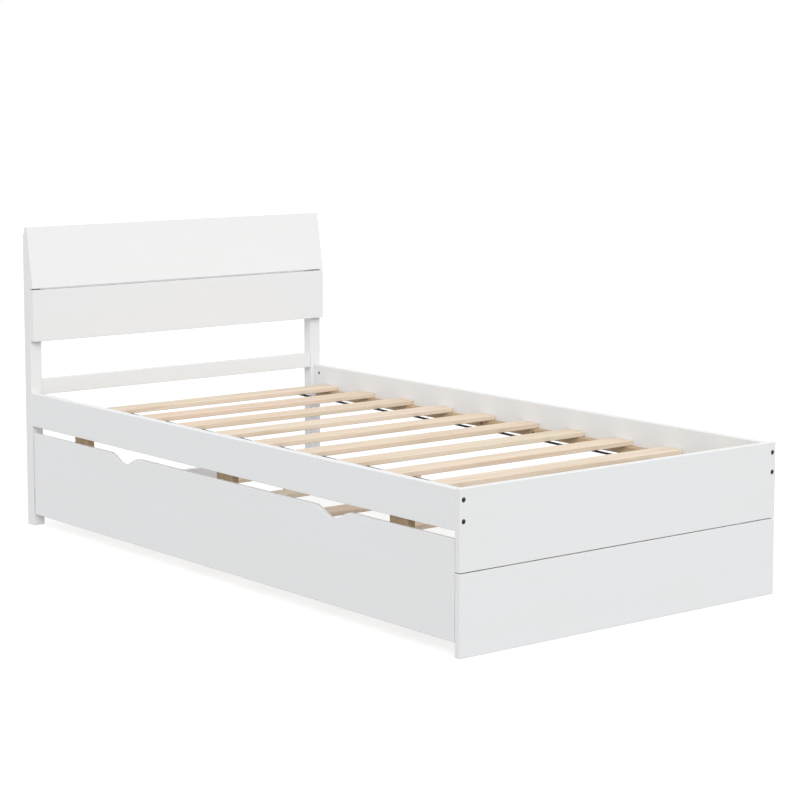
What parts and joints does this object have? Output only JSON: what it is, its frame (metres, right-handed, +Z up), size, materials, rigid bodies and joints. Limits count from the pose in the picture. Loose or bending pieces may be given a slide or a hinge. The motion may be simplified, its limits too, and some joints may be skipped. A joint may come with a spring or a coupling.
{
  "type": "trundle bed",
  "caption": "Twin-size low platform bed of white painted wood with bare slats, a leaning panel headboard and a roll-out trundle under one side.",
  "frame": {"origin": "on the floor under the middle of the bed's bounding box", "axes": "+Z up, +Y from the foot to the headboard, +X towards the wall side; the trundle rolls out towards -X"},
  "size_m": [1.04, 1.97, 0.8718],
  "materials": {
    "white_paint": "satin white lacquer over solid pine, edges eased",
    "bare_pine": "sanded unfinished pine with fine grain and small knots",
    "black_webbing": "flat woven polypropylene webbing",
    "dark_steel": "black oxide socket-head connector bolts",
    "zinc_steel": "bright zinc plated steel",
    "wheel_plastic": "dark moulded nylon"
  },
  "bodies": {
    "bed": {"headboard_post_trundle_side": "white_paint", "headboard_post_wall_side": "white_paint", "headboard_lower_board": "white_paint", "headboard_upper_board": "white_paint", "headboard_cross_rail": "white_paint", "footboard_lower_board": "white_paint", "footboard_upper_board": "white_paint", "footboard_batten_trundle_side": "white_paint", "footboard_batten_wall_side": "white_paint", "side_rail_trundle_side": "white_paint", "side_rail_wall_side": "white_paint", "foot_bolt_trundle_side_lower": "dark_steel", "foot_bolt_trundle_side_upper": "dark_steel", "foot_bolt_wall_side_lower": "dark_steel", "foot_bolt_wall_side_upper": "dark_steel", "head_bolt_trundle_side_lower": "dark_steel", "head_bolt_trundle_side_upper": "dark_steel", "head_bolt_wall_side_lower": "dark_steel", "head_bolt_wall_side_upper": "dark_steel", "slat_ledger_trundle_side": "bare_pine", "slat_ledger_wall_side": "bare_pine", "slat_1": "bare_pine", "slat_2": "bare_pine", "slat_3": "bare_pine", "slat_4": "bare_pine", "slat_5": "bare_pine", "slat_6": "bare_pine", "slat_7": "bare_pine", "slat_8": "bare_pine", "slat_9": "bare_pine", "slat_10": "bare_pine", "slat_strap_trundle_side": "black_webbing", "slat_strap_wall_side": "black_webbing", "trundle_stop_block_1": "bare_pine", "trundle_stop_block_2": "bare_pine", "trundle_stop_block_3": "bare_pine"},
    "trundle": {"trundle_front_panel": "white_paint", "trundle_foot_rail": "white_paint", "trundle_head_rail": "white_paint", "trundle_back_rail": "white_paint", "trundle_ledger_front": "bare_pine", "trundle_ledger_back": "bare_pine", "trundle_slat_1": "bare_pine", "trundle_slat_2": "bare_pine", "trundle_slat_3": "bare_pine", "trundle_slat_4": "bare_pine", "trundle_slat_5": "bare_pine", "trundle_slat_6": "bare_pine", "caster_bracket_foot_front": "zinc_steel", "caster_bracket_foot_back": "zinc_steel", "caster_bracket_head_front": "zinc_steel", "caster_bracket_head_back": "zinc_steel"},
    "front_foot_wheel": {"caster_wheel_foot_front": "wheel_plastic"},
    "back_foot_wheel": {"caster_wheel_foot_back": "wheel_plastic"},
    "front_head_wheel": {"caster_wheel_head_front": "wheel_plastic"},
    "back_head_wheel": {"caster_wheel_head_back": "wheel_plastic"}
  },
  "joints": [
    {"name": "trundle_slide", "type": "slide", "parent": "bed", "child": "trundle", "axis": [-1, 0, 0], "range_m": [0, 1]},
    {"name": "front_foot_wheel_spin", "type": "hinge", "parent": "trundle", "child": "front_foot_wheel", "pos_m": [-0.37, -0.9092, 0.025], "axis": [0, -1, 0], "range_deg": [0, 2310]},
    {"name": "back_foot_wheel_spin", "type": "hinge", "parent": "trundle", "child": "back_foot_wheel", "pos_m": [0.37, -0.9092, 0.025], "axis": [0, -1, 0], "range_deg": [0, 2310]},
    {"name": "front_head_wheel_spin", "type": "hinge", "parent": "trundle", "child": "front_head_wheel", "pos_m": [-0.37, 0.9082, 0.025], "axis": [0, -1, 0], "range_deg": [0, 2310]},
    {"name": "back_head_wheel_spin", "type": "hinge", "parent": "trundle", "child": "back_head_wheel", "pos_m": [0.37, 0.9082, 0.025], "axis": [0, -1, 0], "range_deg": [0, 2310]}
  ],
  "couplings": [
    {"joint": "front_foot_wheel_spin", "follows": "trundle_slide", "rad_per_m": 40},
    {"joint": "back_foot_wheel_spin", "follows": "trundle_slide", "rad_per_m": 40},
    {"joint": "front_head_wheel_spin", "follows": "trundle_slide", "rad_per_m": 40},
    {"joint": "back_head_wheel_spin", "follows": "trundle_slide", "rad_per_m": 40}
  ]
}
